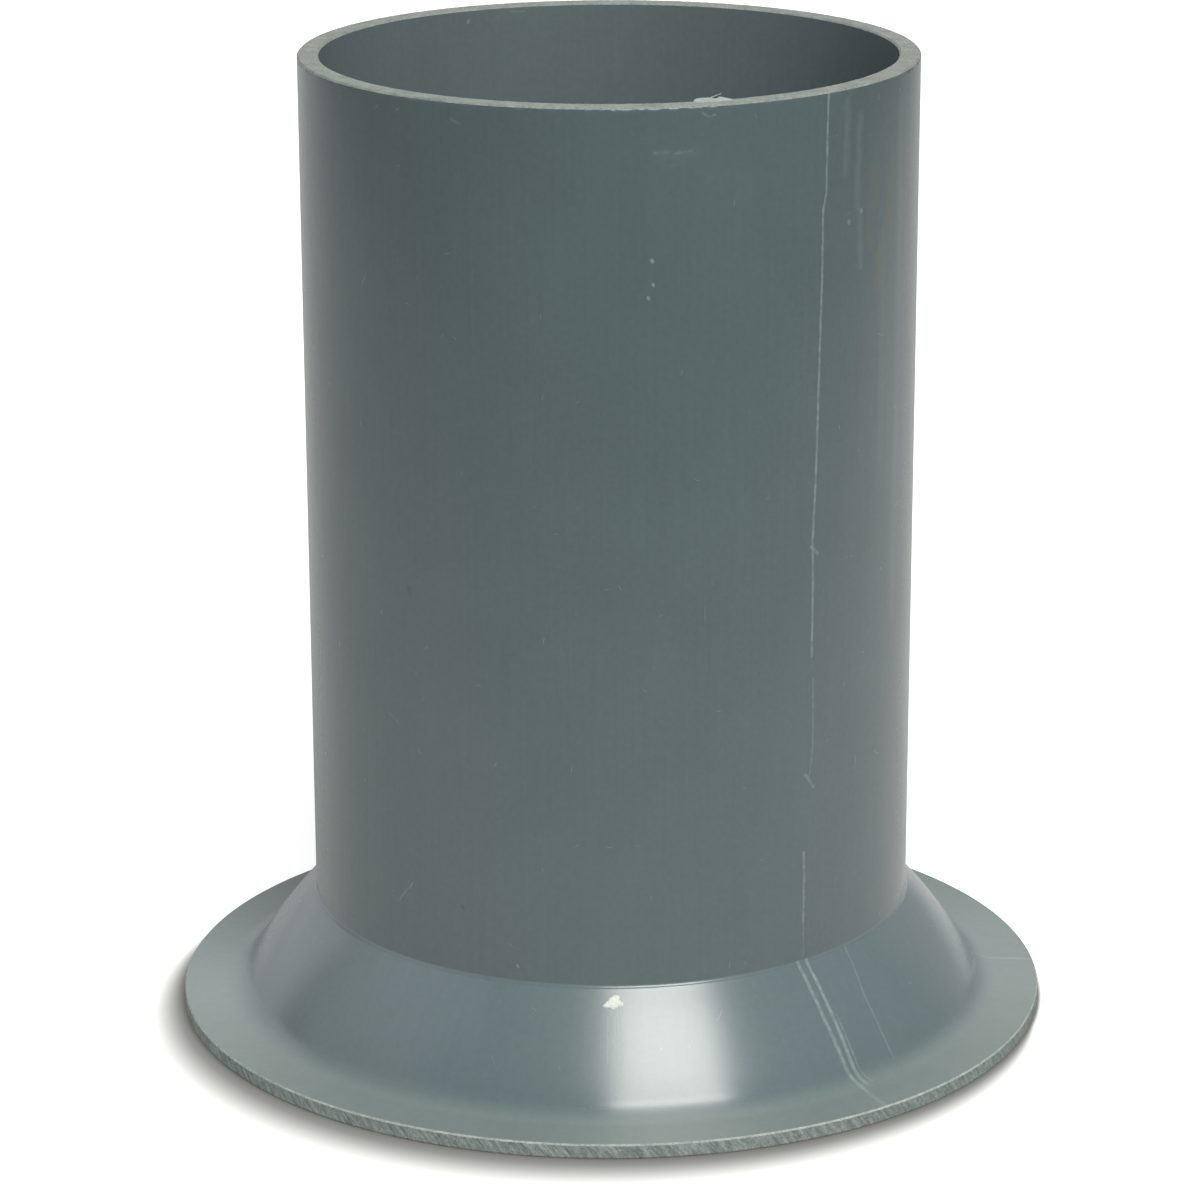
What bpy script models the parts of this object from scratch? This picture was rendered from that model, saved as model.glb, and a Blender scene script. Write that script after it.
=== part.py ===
"""Lap joint stub end: a short length of grey PVC-U pipe, one end of it hot-formed into a skirt and a flat collar.

The part is one piece, open right through. It stands on the collar's sealing face, and +Z runs up the pipe's axis
from that face to the sawn end. Lengths are in metres.
"""
import math

import bpy
from mathutils import Vector

NAME = "stub_end"

# Pipe, as extruded
PIPE_OUTER_DIAMETER = 0.110
PIPE_WALL = 0.0038
OVERALL_HEIGHT = 0.177

# Collar: the ring that the loose backing flange bears on, thinner than the pipe because it was stretched
COLLAR_THICKNESS = 0.0027
COLLAR_FLAT_WIDTH = 0.0077

# Skirt between pipe and collar; slopes are measured from the sealing face
SKIRT_HEIGHT = 0.0222
SKIRT_SLOPE = math.radians(52)
SKIRT_BOW = math.radians(12)
BREAK_RADIUS = 0.0012
FOOT_RADIUS = 0.005

# Edges, scraped after sawing
SAWN_END_BEVEL = 0.0003
COLLAR_EDGE_BEVEL = 0.0002

# Facets round the axis, and along each bend of the wall
ROUND_STEPS = 96
BREAK_STEPS = 4
SKIRT_STEPS = 5
FOOT_STEPS = 6

WELD_DISTANCE = 0.00001
SHARP_EDGE_ANGLE = math.radians(30)

PLASTIC_COLOUR = (0.130, 0.163, 0.172, 1.0)
PLASTIC_ROUGHNESS = 0.38
PLASTIC_IOR = 1.54

UPRIGHT = math.pi / 2
FLAT = 0.0


def clear_scene():
    """Remove every object, so that the file holds only this model."""
    for thing in list(bpy.data.objects):
        bpy.data.objects.remove(thing, do_unlink=True)


def outward(slope):
    """Unit vector out of the wall's outer surface, as (radius, height), where it stands at this slope."""
    return Vector((math.sin(slope), math.cos(slope)))


def bend(start, first_slope, last_slope, radius, steps):
    """Follow an arc away from start and return its (point, slope) stations.

    A positive radius curls the wall outwards, towards the collar, and a negative one bows it the other way.
    """
    stations = []
    for step in range(1, steps + 1):
        slope = first_slope + (last_slope - first_slope) * step / steps
        stations.append((start + radius * (outward(first_slope) - outward(slope)), slope))
    return stations


def skirt_arc_radius(top, foot_drop, top_slope, foot_slope):
    """Radius of the bowed skirt that ends where the foot's own arc can land flat on the collar."""
    drop = top.y - COLLAR_THICKNESS - foot_drop
    return -drop / (math.cos(top_slope) - math.cos(foot_slope))


def formed_wall():
    """Walk down the outer side of the formed end and return its stations as (point, slope, wall thickness)."""
    top_slope = SKIRT_SLOPE - SKIRT_BOW / 2
    foot_slope = SKIRT_SLOPE + SKIRT_BOW / 2
    foot_drop = FOOT_RADIUS * (1 - math.cos(foot_slope))

    pipe_end = Vector((PIPE_OUTER_DIAMETER / 2, SKIRT_HEIGHT))
    turn = [(pipe_end, UPRIGHT)] + bend(pipe_end, UPRIGHT, top_slope, BREAK_RADIUS, BREAK_STEPS)

    skirt_top = turn[-1][0]
    bow_radius = skirt_arc_radius(skirt_top, foot_drop, top_slope, foot_slope)
    skirt = bend(skirt_top, top_slope, foot_slope, bow_radius, SKIRT_STEPS)

    foot = bend(skirt[-1][0], foot_slope, FLAT, FOOT_RADIUS, FOOT_STEPS)

    wall = [(point, slope, PIPE_WALL) for point, slope in turn]
    for step, (point, slope) in enumerate(skirt, start=1):
        thinned = PIPE_WALL + (COLLAR_THICKNESS - PIPE_WALL) * step / SKIRT_STEPS
        wall.append((point, slope, thinned))
    wall += [(point, slope, COLLAR_THICKNESS) for point, slope in foot]
    return wall


def section():
    """Closed outline of the wall: down the outer side, in under the collar and up the bore."""
    wall = formed_wall()
    outer = [point for point, slope, thickness in wall]
    inner = [point - thickness * outward(slope) for point, slope, thickness in wall]
    pipe_radius = PIPE_OUTER_DIAMETER / 2
    bore_radius = pipe_radius - PIPE_WALL
    collar_radius = outer[-1].x + COLLAR_FLAT_WIDTH

    outline = [
        Vector((pipe_radius - SAWN_END_BEVEL, OVERALL_HEIGHT)),
        Vector((pipe_radius, OVERALL_HEIGHT - SAWN_END_BEVEL)),
    ]
    outline += outer
    outline += [
        Vector((collar_radius - COLLAR_EDGE_BEVEL, COLLAR_THICKNESS)),
        Vector((collar_radius, COLLAR_THICKNESS - COLLAR_EDGE_BEVEL)),
        Vector((collar_radius, COLLAR_EDGE_BEVEL)),
        Vector((collar_radius - COLLAR_EDGE_BEVEL, 0.0)),
    ]
    outline += reversed(inner)
    outline += [
        Vector((bore_radius, OVERALL_HEIGHT - SAWN_END_BEVEL)),
        Vector((bore_radius + SAWN_END_BEVEL, OVERALL_HEIGHT)),
    ]
    return outline


def turned(name, outline, collection):
    """Turn a closed outline round Z into a solid, shaded smooth except at its crisp edges."""
    corners = [(point.x, 0.0, point.y) for point in outline]
    edges = [(i, (i + 1) % len(corners)) for i in range(len(corners))]
    profile = bpy.data.meshes.new(name + "_profile")
    profile.from_pydata(corners, edges, [])
    solid = bpy.data.objects.new(name, profile)
    collection.objects.link(solid)

    screw = solid.modifiers.new("turn", "SCREW")
    screw.axis = "Z"
    screw.angle = math.tau
    screw.steps = ROUND_STEPS
    screw.render_steps = ROUND_STEPS
    screw.use_merge_vertices = True
    screw.merge_threshold = WELD_DISTANCE

    depsgraph = bpy.context.evaluated_depsgraph_get()
    body = bpy.data.meshes.new_from_object(solid.evaluated_get(depsgraph))
    body.name = name
    solid.modifiers.clear()
    solid.data = body
    bpy.data.meshes.remove(profile)
    body.shade_smooth()
    body.set_sharp_from_angle(angle=SHARP_EDGE_ANGLE)
    return solid


def grey_pvc():
    """Grey PVC-U with the satin skin of extruded pipe."""
    material = bpy.data.materials.new("grey_pvc_u")
    material.use_nodes = True
    shader = material.node_tree.nodes["Principled BSDF"]
    shader.inputs["Base Color"].default_value = PLASTIC_COLOUR
    shader.inputs["Metallic"].default_value = 0.0
    shader.inputs["Roughness"].default_value = PLASTIC_ROUGHNESS
    shader.inputs["IOR"].default_value = PLASTIC_IOR
    return material


def main():
    clear_scene()
    collection = bpy.data.collections.new("lap_joint_stub_end")
    bpy.context.scene.collection.children.link(collection)
    stub_end = turned(NAME, section(), collection)
    stub_end.data.materials.append(grey_pvc())


main()
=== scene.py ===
"""Looks of a lap joint stub end: grey PVC-U pipe with one end hot-formed into a skirt and a flat collar.

Laid out as a Blender add-on and run as a script. Everything is in metres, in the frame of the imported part:
the collar stands on z = 0, +Z runs up the pipe and the camera looks along +Y. A place on the outer surface is
given as an azimuth, 0 at the front and growing to the right, and a path: the height less the amount by which
the radius exceeds the pipe's.
"""
import math

import bmesh
import bpy
from bpy.props import FloatProperty, FloatVectorProperty, IntProperty, PointerProperty
from bpy.types import Operator, Panel, PropertyGroup
from mathutils import Matrix, Vector, noise


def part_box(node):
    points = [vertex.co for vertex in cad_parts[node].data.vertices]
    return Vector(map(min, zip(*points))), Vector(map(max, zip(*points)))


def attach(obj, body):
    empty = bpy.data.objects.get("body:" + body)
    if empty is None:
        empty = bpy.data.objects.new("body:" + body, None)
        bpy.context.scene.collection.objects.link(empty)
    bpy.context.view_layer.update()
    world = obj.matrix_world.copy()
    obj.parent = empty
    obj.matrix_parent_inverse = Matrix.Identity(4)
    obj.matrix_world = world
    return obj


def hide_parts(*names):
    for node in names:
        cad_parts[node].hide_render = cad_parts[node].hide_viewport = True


bl_info = {
    "name": "Lap Joint Stub End",
    "version": (1, 0, 0),
    "blender": (4, 5, 0),
    "location": "3D View > Sidebar > Stub End",
    "description": "Dresses a formed PVC-U stub end and sets it on a pale studio floor",
    "category": "Object",
}

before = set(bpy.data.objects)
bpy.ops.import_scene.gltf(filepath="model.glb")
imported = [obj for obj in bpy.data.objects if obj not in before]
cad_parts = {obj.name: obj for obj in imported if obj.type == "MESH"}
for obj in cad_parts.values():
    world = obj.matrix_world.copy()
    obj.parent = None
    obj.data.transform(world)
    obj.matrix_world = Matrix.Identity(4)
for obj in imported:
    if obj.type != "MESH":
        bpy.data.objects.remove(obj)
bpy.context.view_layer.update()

NODE = "stub_end"
BODY = "root"
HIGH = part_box(NODE)[1]

MM = 0.001
UPRIGHT = math.pi / 2
FLAT = 0.0

# Regions of the wall, in the order of the body's material slots
PIPE_SKIN, FORMED_SKIN, SAWN_END, CUT_EDGE, ARRIS, BORE_SKIN = range(6)


def srgb(code):
    """Linear colour of an sRGB hex code such as 5E6A6C."""
    linear = []
    for start in (0, 2, 4):
        level = int(code[start:start + 2], 16) / 255
        linear.append(level / 12.92 if level <= 0.04045 else ((level + 0.055) / 1.055) ** 2.4)
    return tuple(linear)


class StubEndSizes(PropertyGroup):
    """Sizes of the fitting, as in the solid that it dresses."""

    pipe_radius: FloatProperty(
        name="Pipe Radius", description="Outer radius of the pipe", default=0.055, unit="LENGTH")
    pipe_wall: FloatProperty(
        name="Pipe Wall", description="Wall of the pipe as extruded", default=0.0038, unit="LENGTH")
    height: FloatProperty(
        name="Height", description="Sealing face to the top of the sawn end", default=HIGH.z, unit="LENGTH")
    collar_radius: FloatProperty(
        name="Collar Radius", description="Outer radius of the collar", default=HIGH.x, unit="LENGTH")
    collar_thickness: FloatProperty(
        name="Collar Thickness", description="Thickness of the stretched collar", default=0.0027,
        unit="LENGTH")
    skirt_height: FloatProperty(
        name="Skirt Height", description="Sealing face to where the pipe starts to turn", default=0.0218,
        unit="LENGTH")
    skirt_slope: FloatProperty(
        name="Skirt Slope", description="Mean slope of the skirt to the sealing face",
        default=math.radians(52), subtype="ANGLE")
    skirt_bow: FloatProperty(
        name="Skirt Bow", description="How much steeper the skirt is at its foot than at its top",
        default=math.radians(12), subtype="ANGLE")
    lip_radius: FloatProperty(
        name="Lip Radius", description="First outer bend under the pipe, where the tool's clamp stopped",
        default=0.00052, unit="LENGTH")
    lip_slope: FloatProperty(
        name="Lip Slope", description="Slope at which the lip turns back", default=math.radians(50),
        subtype="ANGLE")
    groove_slope: FloatProperty(
        name="Groove Slope", description="Steepest slope in the groove under the lip",
        default=math.radians(72), subtype="ANGLE")
    break_radius: FloatProperty(
        name="Break Radius", description="Outer bend between the groove and the skirt", default=0.0008,
        unit="LENGTH")
    foot_radius: FloatProperty(
        name="Foot Radius", description="Outer bend between skirt and collar", default=0.0062, unit="LENGTH")
    edge_bevel: FloatProperty(
        name="Edge Bevel", description="Scraped edge of the saw cuts", default=0.0003, unit="LENGTH")
    saw_relief: FloatProperty(
        name="Saw Relief", description="Depth that the saw's teeth leave in the cut faces", default=0.00015,
        unit="LENGTH")
    burr_room: FloatProperty(
        name="Burr Room", description="How far the sawn face lies under the tip of its burr", default=0.00010,
        unit="LENGTH")
    round_steps: IntProperty(
        name="Round Steps", description="Facets round the axis", default=900, min=96)


class StubEndFinish(PropertyGroup):
    """Colours and gloss of the plastic."""

    pipe_colour: FloatVectorProperty(
        name="Pipe", description="Skin of the extruded pipe", subtype="COLOR", default=srgb("546164"))
    # Paler than the pipe's colour, partly as painted light for light bouncing round inside the bore
    bore_colour: FloatVectorProperty(
        name="Bore", description="Inside skin of the pipe", subtype="COLOR", default=srgb("616C70"))
    formed_colour: FloatVectorProperty(
        name="Formed End", description="Skin of the heated skirt and collar", subtype="COLOR",
        default=srgb("5F6D72"))
    stretched_colour: FloatVectorProperty(
        name="Stretched Colour", description="PVC-U whitened where the collar is stretched most",
        subtype="COLOR", default=srgb("788584"))
    sawn_colour: FloatVectorProperty(
        name="Sawn Face", description="Plastic whitened by the saw", subtype="COLOR", default=srgb("878D89"))
    edge_colour: FloatVectorProperty(
        name="Collar Edge", description="Trimmed edge of the collar", subtype="COLOR", default=srgb("788180"))
    # The scratch colour also paints the pale highlight streaks on the skirt
    mark_colour: FloatVectorProperty(
        name="Scratch", description="Plastic whitened where it is scratched", subtype="COLOR",
        default=srgb("9AA5A6"))
    pipe_roughness: FloatProperty(
        name="Pipe Roughness", description="Roughness of the extruded skin", default=0.24, min=0.0, max=1.0)
    formed_roughness: FloatProperty(
        name="Formed Roughness", description="Roughness of the skin that the hot tool pressed", default=0.26,
        min=0.0, max=1.0)


class StubEndStage(PropertyGroup):
    """Camera and light levels."""

    camera_distance: FloatProperty(
        name="Camera Distance", description="Camera to the pipe's axis, along the floor", default=0.7510,
        unit="LENGTH")
    camera_height: FloatProperty(
        name="Camera Height", description="Camera above the floor", default=0.30754, unit="LENGTH")
    light_level: FloatProperty(
        name="Light Level", description="Factor on every lamp", default=1.0, min=0.0)
    room_level: FloatProperty(
        name="Room Level", description="Grey of the room as the object sees it", default=0.30, min=0.0)
    floor_lift: FloatProperty(
        name="Floor Lift", description="Light added to the floor for the camera alone", default=0.6, min=0.0)
    shade_width: FloatProperty(
        name="Shade Width", description="Width of the contact shadow where it is widest", default=0.0150,
        unit="LENGTH")


def add(tree, kind, inputs=None, **settings):
    """Add a node, give it its settings, and link or set its inputs."""
    node = tree.nodes.new(kind)
    for key, value in settings.items():
        setattr(node, key, value)
    for key, value in (inputs or {}).items():
        if isinstance(value, bpy.types.NodeSocket):
            tree.links.new(value, node.inputs[key])
        else:
            node.inputs[key].default_value = value
    return node


def number(tree, operation, *terms, **settings):
    """Socket of a number worked out from other numbers."""
    return add(tree, "ShaderNodeMath", dict(enumerate(terms)), operation=operation, **settings).outputs[0]


def vector(tree, operation, *terms):
    """Socket of an operation on vectors."""
    node = add(tree, "ShaderNodeVectorMath", dict(enumerate(terms)), operation=operation)
    return node.outputs["Value" if operation in ("DOT_PRODUCT", "LENGTH", "DISTANCE") else "Vector"]


def times(tree, direction, factor):
    """Socket of a vector made longer by a factor."""
    return add(tree, "ShaderNodeVectorMath", {0: direction, "Scale": factor}, operation="SCALE").outputs[0]


def ranged(tree, value, start, end, low=0.0, high=1.0, **settings):
    """Socket that goes from low to high as the value goes from start to end, and no further."""
    return add(tree, "ShaderNodeMapRange", {"Value": value, "From Min": start, "From Max": end,
                                            "To Min": low, "To Max": high}, **settings).outputs["Result"]


def clouds(tree, place, scale, detail, roughness=0.5):
    """Socket of soft noise from 0 to 1, with this many lumps to a unit of the place."""
    return add(tree, "ShaderNodeTexNoise", {"Vector": place, "Scale": scale, "Detail": detail,
                                            "Roughness": roughness}).outputs["Fac"]


def blended(tree, share, first, last):
    """Socket of a colour that goes from the first to the last with the share."""
    return add(tree, "ShaderNodeMix", {"Factor": share, "A": first, "B": last},
               data_type="RGBA").outputs["Result"]


# Section of the wall

# Faces down each stretch of the section
LIP_STEPS = 4
SKIRT_STEPS = 10
FOOT_STEPS = 14
PIPE_STEPS = 4
FLAT_STEPS = 4
EDGE_STEPS = 6
SOLE_STEPS = 3
RIM_STEPS = 7
# Rings this far under each arris of the sawn end keep its notches from tilting the long faces below
RING_DROPS = (0.25 * MM, 0.6 * MM)


def outward(slope):
    """Unit vector out of the wall's outer surface, as (radius, height), where it stands at this slope."""
    return Vector((math.sin(slope), math.cos(slope)))


def bend(start, first_slope, last_slope, radius, steps):
    """Stations (point, slope) of an arc away from start; a negative radius bows the wall back."""
    stations = []
    for step in range(1, steps + 1):
        slope = first_slope + (last_slope - first_slope) * step / steps
        stations.append((start + radius * (outward(first_slope) - outward(slope)), slope))
    return stations


def formed_wall(sizes):
    """Stations (point, slope, thickness of the wall) down the outer side of the formed end."""
    top_slope = sizes.skirt_slope - sizes.skirt_bow / 2
    foot_slope = sizes.skirt_slope + sizes.skirt_bow / 2

    pipe_end = Vector((sizes.pipe_radius, sizes.skirt_height))
    turn = [(pipe_end, UPRIGHT)] + bend(pipe_end, UPRIGHT, sizes.lip_slope, sizes.lip_radius, LIP_STEPS)
    turn += bend(turn[-1][0], sizes.lip_slope, sizes.groove_slope, -sizes.lip_radius, LIP_STEPS)
    turn += bend(turn[-1][0], sizes.groove_slope, top_slope, sizes.break_radius, LIP_STEPS)
    skirt_top = turn[-1][0]
    drop = skirt_top.y - sizes.collar_thickness - sizes.foot_radius * (1 - math.cos(foot_slope))
    bow_radius = -drop / (math.cos(top_slope) - math.cos(foot_slope))
    skirt = bend(skirt_top, top_slope, foot_slope, bow_radius, SKIRT_STEPS)
    foot = bend(skirt[-1][0], foot_slope, FLAT, sizes.foot_radius, FOOT_STEPS)

    stretch = sizes.collar_thickness - sizes.pipe_wall
    wall = [(point, slope, sizes.pipe_wall) for point, slope in turn]
    wall += [(point, slope, sizes.pipe_wall + stretch * step / SKIRT_STEPS)
             for step, (point, slope) in enumerate(skirt, start=1)]
    wall += [(point, slope, sizes.collar_thickness) for point, slope in foot]
    return wall


def between(first, last, steps):
    """Points after first up to last, evenly spaced."""
    return [first.lerp(last, step / steps) for step in range(1, steps + 1)]


def section(sizes):
    """Closed outline of the wall as (point, region of the stretch that follows it)."""
    wall = formed_wall(sizes)
    outer = [point for point, slope, thickness in wall]
    inner = [point - thickness * outward(slope) for point, slope, thickness in wall]
    inner.reverse()
    bevel = sizes.edge_bevel
    top = sizes.height - sizes.burr_room
    bore = sizes.pipe_radius - sizes.pipe_wall
    collar_radius = sizes.collar_radius
    thick = sizes.collar_thickness

    outer_rim = Vector((sizes.pipe_radius - bevel, top))
    outer_arris = Vector((sizes.pipe_radius, top - bevel))
    edge_top = Vector((collar_radius - bevel, thick))
    edge_start = Vector((collar_radius, thick - bevel))
    edge_end = Vector((collar_radius, bevel))
    edge_bottom = Vector((collar_radius - bevel, 0.0))
    inner_arris = Vector((bore, top - bevel))
    inner_rim = Vector((bore + bevel, top))
    outer_rings = [outer_arris - Vector((0.0, drop)) for drop in RING_DROPS]
    inner_rings = [inner_arris - Vector((0.0, drop)) for drop in reversed(RING_DROPS)]
    down_the_pipe = between(outer_rings[-1], outer[0], PIPE_STEPS)[:-1]
    over_the_flat = between(outer[-1], edge_top, FLAT_STEPS)[:-1]
    over_the_edge = between(edge_start, edge_end, EDGE_STEPS)
    over_the_sole = between(edge_bottom, inner[0], SOLE_STEPS)[:-1]
    up_the_bore = between(inner[-1], inner_rings[0], PIPE_STEPS)
    over_the_rim = between(inner_rim, outer_rim, RIM_STEPS)[:-1]

    stretches = [
        (SAWN_END, [outer_rim]),
        (PIPE_SKIN, [outer_arris] + outer_rings + down_the_pipe),
        (FORMED_SKIN, outer + over_the_flat),
        (ARRIS, [edge_top]),
        (CUT_EDGE, [edge_start] + over_the_edge),
        (BORE_SKIN, [edge_bottom] + over_the_sole + inner + up_the_bore + inner_rings[1:]),
        (SAWN_END, [inner_arris, inner_rim] + over_the_rim),
    ]
    return [(point, region) for region, points in stretches for point in points]


def wall_at(path, sizes):
    """Point and slope of the formed end's outer surface at a path in mm."""
    stations = [((point.y - point.x + sizes.pipe_radius) / MM, point, slope)
                for point, slope, thickness in formed_wall(sizes)]
    for (above, first, first_slope), (below, last, last_slope) in zip(stations, stations[1:]):
        if above >= path >= below:
            share = (above - path) / (above - below)
            return first.lerp(last, share), first_slope + share * (last_slope - first_slope)
    raise ValueError(f"no outer surface at path {path}")


# Relief that the saw leaves

# Sawn end: its slow wave, its crumbs, about as fine as the mesh can show, and the notches in its arris
SLOW_WAVE = 40 * MM
CRUMB = 0.7 * MM
NOTCH = 1.4 * MM
# Collar's edge: its grit, and ridges that slant and wander
EDGE_GRIT = 0.8 * MM
RIDGE_PITCH = 2.1 * MM
RIDGE_SLANT = 1.0
RIDGE_DRIFT = 9 * MM
RIDGE_WANDER = 0.9 * MM
# The sharpest turn between two faces that is still shaded as one smooth surface
BODY_CREASE = math.radians(32)
TORN_CREASE = math.radians(50)


def grain(point, size, octaves=3):
    """Noise from -1 to 1 whose coarsest lumps are about size across."""
    return noise.fractal(point / size, 1.0, 2.0, octaves) / 1.5


def sawn_end_relief(point, depth):
    """Height change of the hand-sawn end: a slow wave, and the torn grain of the cut."""
    slow_wave = grain(point, SLOW_WAVE, 1)
    crumbs = grain(point, CRUMB, 4)
    return depth * (0.25 * slow_wave + 0.4 * crumbs)


def collar_edge_relief(point, azimuth, sizes):
    """How far the trimmed edge lies inside its circle: slanting saw ridges about 2 mm apart, roughened."""
    along = azimuth * sizes.collar_radius + RIDGE_SLANT * point.z
    wander = RIDGE_WANDER * grain(point, RIDGE_DRIFT)
    ridge = 0.5 + 0.5 * math.sin(math.tau * (along + wander) / RIDGE_PITCH)
    return sizes.saw_relief * (0.5 * ridge * ridge + 0.35 * (1 + grain(point, EDGE_GRIT)))


def around(azimuth, radius, height):
    """Point at an azimuth from the front, a radius and a height."""
    return Vector((radius * math.sin(azimuth), -radius * math.cos(azimuth), height))


def relieved(point, azimuth, region_before, region, sizes):
    """Point of the section at an azimuth, moved by the saw's relief where it lies on a cut face."""
    place = around(azimuth, point.x, point.y)
    beside = {region_before, region}
    if SAWN_END in beside:
        place.z += sawn_end_relief(place, sizes.saw_relief)
        if PIPE_SKIN in beside:
            notch = max(0.0, grain(place, NOTCH, 4)) * sizes.edge_bevel
            place -= around(azimuth, notch, 0.0)
    elif CUT_EDGE in beside:
        inset = collar_edge_relief(place, azimuth, sizes)
        place -= around(azimuth, inset, 0.0)
    return place


def build_body(sizes):
    """Mesh of the whole fitting, its cut faces rough, each face given the material index of its region."""
    outline = section(sizes)
    count = len(outline)
    steps = sizes.round_steps
    verts = []
    for step in range(steps):
        azimuth = math.tau * step / steps
        for index, (point, region) in enumerate(outline):
            verts.append(relieved(point, azimuth, outline[index - 1][1], region, sizes))

    faces = []
    for step in range(steps):
        here, there = step * count, (step + 1) % steps * count
        for index in range(count):
            below = (index + 1) % count
            faces.append((here + index, here + below, there + below, there + index))

    mesh = bpy.data.meshes.new("formed_pipe")
    mesh.from_pydata(verts, [], faces)
    mesh.polygons.foreach_set("material_index", [region for point, region in outline] * steps)
    mesh.shade_smooth()
    mesh.set_sharp_from_angle(angle=BODY_CREASE)
    return mesh


# White fleck stuck under the lip: lobes as (mm to the right of the front, path in mm, radius in mm)
FLECK_LOBES = [
    (0.80, 18.65, 0.72), (0.45, 17.80, 1.00), (-0.25, 17.05, 0.80), (-0.85, 16.45, 0.62),
    (0.35, 16.55, 0.85), (1.05, 17.25, 0.80), (1.60, 16.85, 0.62),
]
FLECK_THICKNESS = 0.38 * MM
# Mesh step and free border round the lobes, in mm, and how far the border dips as a share of the thickness
FLECK_STEP = 0.06
FLECK_MARGIN = 0.35
FLECK_DIP = 0.15
# Share by which noise moves the fleck's outline and its height, and how many lumps of it lie on 1 mm
FLECK_RAGGEDNESS, FLECK_RAGS = 0.16, 3.1
FLECK_UNEVENNESS, FLECK_LUMPS = 0.35, 5.3


def build_fleck(sizes):
    """Mesh of the fleck: a lumpy crust whose border dips under the skirt's surface."""
    step, margin = FLECK_STEP, FLECK_MARGIN
    left = min(right - radius for right, path, radius in FLECK_LOBES) - margin
    wide = max(right + radius for right, path, radius in FLECK_LOBES) + margin - left
    low = min(path - radius for right, path, radius in FLECK_LOBES) - margin
    tall = max(path + radius for right, path, radius in FLECK_LOBES) + margin - low
    columns, rows = int(wide / step) + 1, int(tall / step) + 1

    crust = bmesh.new()
    grid = {}
    for row in range(rows):
        path = low + row * step
        point, slope = wall_at(path, sizes)
        azimuth_step = MM / point.x
        for column in range(columns):
            right = left + column * step
            cover = max(1 - math.hypot(right - lobe_right, path - lobe_path) / radius
                        for lobe_right, lobe_path, radius in FLECK_LOBES)
            cover += FLECK_RAGGEDNESS * noise.noise(Vector((right, path, 0.0)) * FLECK_RAGS)
            lumps = FLECK_UNEVENNESS * noise.noise(Vector((right, path, 5.0)) * FLECK_LUMPS)
            rise = FLECK_THICKNESS * (math.sqrt(cover) + lumps * cover if cover > 0 else -FLECK_DIP)
            lifted = point + rise * outward(slope)
            grid[row, column] = crust.verts.new(around(right * azimuth_step, lifted.x, lifted.y)), cover
    for row in range(rows - 1):
        for column in range(columns - 1):
            corners = [grid[row, column], grid[row, column + 1], grid[row + 1, column + 1],
                       grid[row + 1, column]]
            if any(cover > 0 for vert, cover in corners):
                crust.faces.new([vert for vert, cover in corners])
    loose = [vert for vert in crust.verts if not vert.link_faces]
    bmesh.ops.delete(crust, geom=loose, context="VERTS")
    mesh = bpy.data.meshes.new("white_fleck")
    crust.to_mesh(mesh)
    crust.free()
    mesh.shade_smooth()
    return mesh


# Burr at the rim's inner edge, as (azimuth in degrees, height over the rim and reach into the bore in mm)
BURR_COURSE = [
    (15.9, -0.05, 0.0), (16.3, 0.04, 1.0), (17.0, 0.09, 1.8), (17.9, 0.10, 2.2), (18.8, 0.10, 2.4),
    (19.6, 0.10, 2.2), (20.3, 0.09, 1.8), (20.9, 0.05, 1.1), (21.4, 0.09, 1.5), (21.9, 0.10, 2.3),
    (22.4, 0.10, 1.7), (23.0, 0.02, 0.5), (23.4, -0.05, 0.0),
]
# Sliver that stands off the burr, as (azimuth in degrees, radius and height over the rim in mm)
SLIVER_COURSE = [
    (19.7, 49.6, 0.00), (20.6, 48.7, 0.03), (21.6, 48.0, 0.04), (22.7, 47.3, 0.04), (23.8, 46.5, 0.04),
]
BURR_STEPS = 150
BURR_ROOT_WIDTH = 1.6 * MM
BURR_ROOT_DEPTH = 0.9 * MM
BURR_ROUGHNESS = 0.11 * MM
BURR_GRAIN = 0.8 * MM
SLIVER_STEPS = 24
SLIVER_SIDES = 6
SLIVER_THICKNESS = 0.46 * MM
SLIVER_GRAIN = 0.5 * MM
# How much thinner the sliver is at its tip, and its height as a share of its width
SLIVER_TAPER = 0.35
SLIVER_FLATNESS = 0.55


def along_course(course, share):
    """Values of a course at a share of its length, eased from one station to the next."""
    spot = share * (len(course) - 1)
    index = min(int(spot), len(course) - 2)
    part = spot - index
    eased = part * part * (3 - 2 * part)
    return [first + (last - first) * eased for first, last in zip(course[index], course[index + 1])]


def loft(name, rings):
    """Mesh of a closed skin over rings of points, with flat ends."""
    skin_mesh = bmesh.new()
    loops = [[skin_mesh.verts.new(point) for point in ring] for ring in rings]
    for first, last in zip(loops, loops[1:]):
        for index in range(len(first)):
            after = (index + 1) % len(first)
            skin_mesh.faces.new((first[index], first[after], last[after], last[index]))
    skin_mesh.faces.new(reversed(loops[0]))
    skin_mesh.faces.new(loops[-1])
    bmesh.ops.recalc_face_normals(skin_mesh, faces=skin_mesh.faces)
    mesh = bpy.data.meshes.new(name)
    skin_mesh.to_mesh(mesh)
    skin_mesh.free()
    mesh.shade_smooth()
    mesh.set_sharp_from_angle(angle=TORN_CREASE)
    return mesh


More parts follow.
